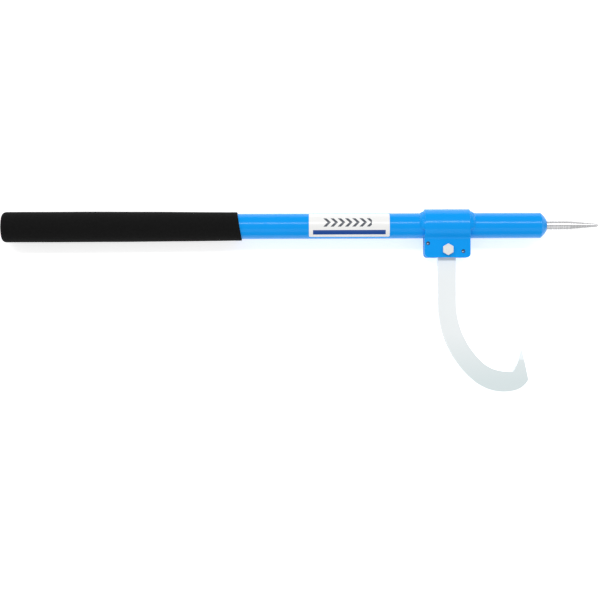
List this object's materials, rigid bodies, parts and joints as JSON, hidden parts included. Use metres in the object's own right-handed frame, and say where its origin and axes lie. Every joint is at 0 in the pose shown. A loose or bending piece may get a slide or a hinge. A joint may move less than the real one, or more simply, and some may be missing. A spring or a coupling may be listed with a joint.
{
  "type": "peavey",
  "caption": "Short metal peavey: blue tube handle with a foam grip, a straight steel spike at the end and a curved plate hook that swings in a welded clevis.",
  "frame": {"origin": "centre of the tube's front end, on the handle's axis, where the coned nose begins", "axes": "+X along the handle towards the spike, the hook hangs towards -Y at rest, +Z is the hook pivot's axis on the bolt head's side; the tool lies flat on its nut side"},
  "size_m": [0.7466, 0.2281, 0.0451],
  "materials": {
    "blue_paint": "glossy bright blue powder coat on aluminium",
    "foam": "matte black closed-cell foam",
    "black_plastic": "moulded black plastic",
    "turned_steel": "bright turned steel",
    "label_film": "white vinyl with plain printed stripes",
    "hook_plate": "pale zinc-plated steel plate, satin",
    "zinc": "bright zinc plate",
    "nylon": "natural nylon",
    "spring_steel": "dark oiled spring steel"
  },
  "bodies": {
    "handle": {"handle_tube": "blue_paint", "foam_grip": "foam", "butt_plug": "black_plastic", "nose_plug": "blue_paint", "tip": "turned_steel", "bracket": "blue_paint", "rear_weld_beads": "blue_paint", "front_weld_beads": "blue_paint", "label": "label_film", "pivot_bolt": "zinc", "lock_nut": "zinc", "lock_nut_insert": "nylon", "upper_thrust_washer": "zinc", "lower_thrust_washer": "zinc", "rear_stop_pin": "spring_steel", "front_stop_pin": "spring_steel"},
    "swing_hook": {"hook": "hook_plate"}
  },
  "joints": [
    {"name": "hook_swing", "type": "hinge", "parent": "handle", "child": "swing_hook", "pos_m": [-0.1164, -0.02985, 0], "axis": [0, 0, 1], "range_deg": [-72, 40]}
  ]
}
